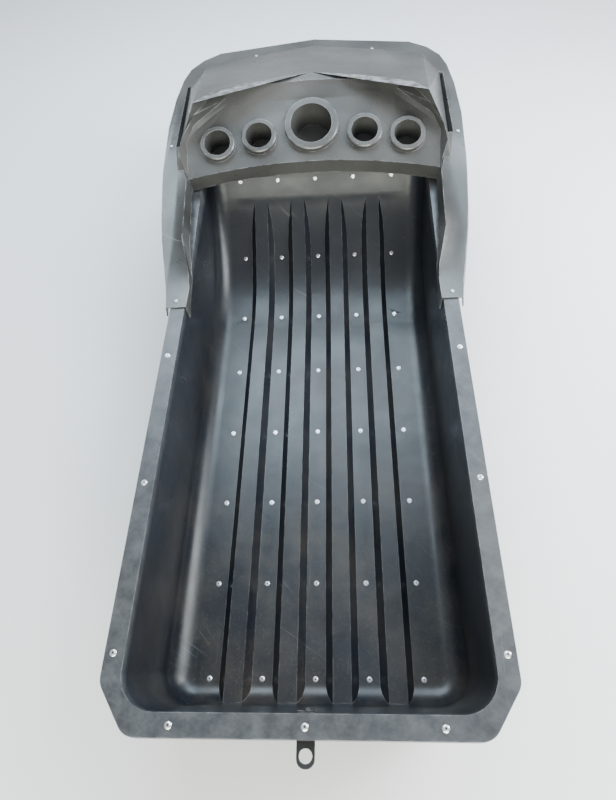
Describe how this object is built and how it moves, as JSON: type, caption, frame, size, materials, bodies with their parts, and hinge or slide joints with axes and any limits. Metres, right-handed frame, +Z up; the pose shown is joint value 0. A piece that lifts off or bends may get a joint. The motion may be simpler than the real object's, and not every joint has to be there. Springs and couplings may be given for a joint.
{
  "type": "tow-behind cargo sled",
  "caption": "Open plastic cargo sled tub with raised floor bands, a turned-up bow, a rolled rim, a front cowl with cup wells, a rear tow eye and a front hitch.",
  "frame": {"origin": "middle of the overall length and width, level with the underside of the wear strips", "axes": "+Y towards the bow, +X to the right, +Z up"},
  "size_m": [1.064, 2.5118, 0.634],
  "materials": {
    "tub_plastic": "satin thermoformed polyethylene, scuffed",
    "cowl_plastic": "satin thermoformed polyethylene with a fine grain",
    "strip_plastic": "slick ultra-high-density polyethylene",
    "black_steel": "black powder coat",
    "rivet_aluminium": "bright, lightly tarnished",
    "zinc_steel": "zinc plated"
  },
  "bodies": {
    "root": {"tub": "tub_plastic", "cowl": "cowl_plastic", "wear_strip_1": "strip_plastic", "runner_rivets_1": "rivet_aluminium", "runner_washers_1": "zinc_steel", "wear_strip_2": "strip_plastic", "runner_rivets_2": "rivet_aluminium", "runner_washers_2": "zinc_steel", "wear_strip_3": "strip_plastic", "runner_rivets_3": "rivet_aluminium", "runner_washers_3": "zinc_steel", "wear_strip_4": "strip_plastic", "runner_rivets_4": "rivet_aluminium", "runner_washers_4": "zinc_steel", "wear_strip_5": "strip_plastic", "runner_rivets_5": "rivet_aluminium", "runner_washers_5": "zinc_steel", "rim_rail_left": "black_steel", "rim_rail_right": "black_steel", "rim_rail_sleeve": "black_steel", "tow_eye_bracket": "black_steel", "front_hitch_bracket": "black_steel", "rim_rivets_left": "rivet_aluminium", "rim_rivets_right": "rivet_aluminium", "rim_rivets_rear": "rivet_aluminium", "tow_eye_backing_plate": "zinc_steel", "tow_eye_bolts": "zinc_steel", "tow_eye_nuts": "zinc_steel", "front_hitch_backing_plate": "zinc_steel", "front_hitch_bolts": "zinc_steel", "front_hitch_nuts": "zinc_steel", "cowl_clip_screws": "zinc_steel", "cowl_clip_nuts": "zinc_steel", "cowl_side_screws": "zinc_steel", "cowl_side_nuts": "zinc_steel", "cowl_front_screws": "zinc_steel", "cowl_front_nuts": "zinc_steel"}
  },
  "joints": []
}
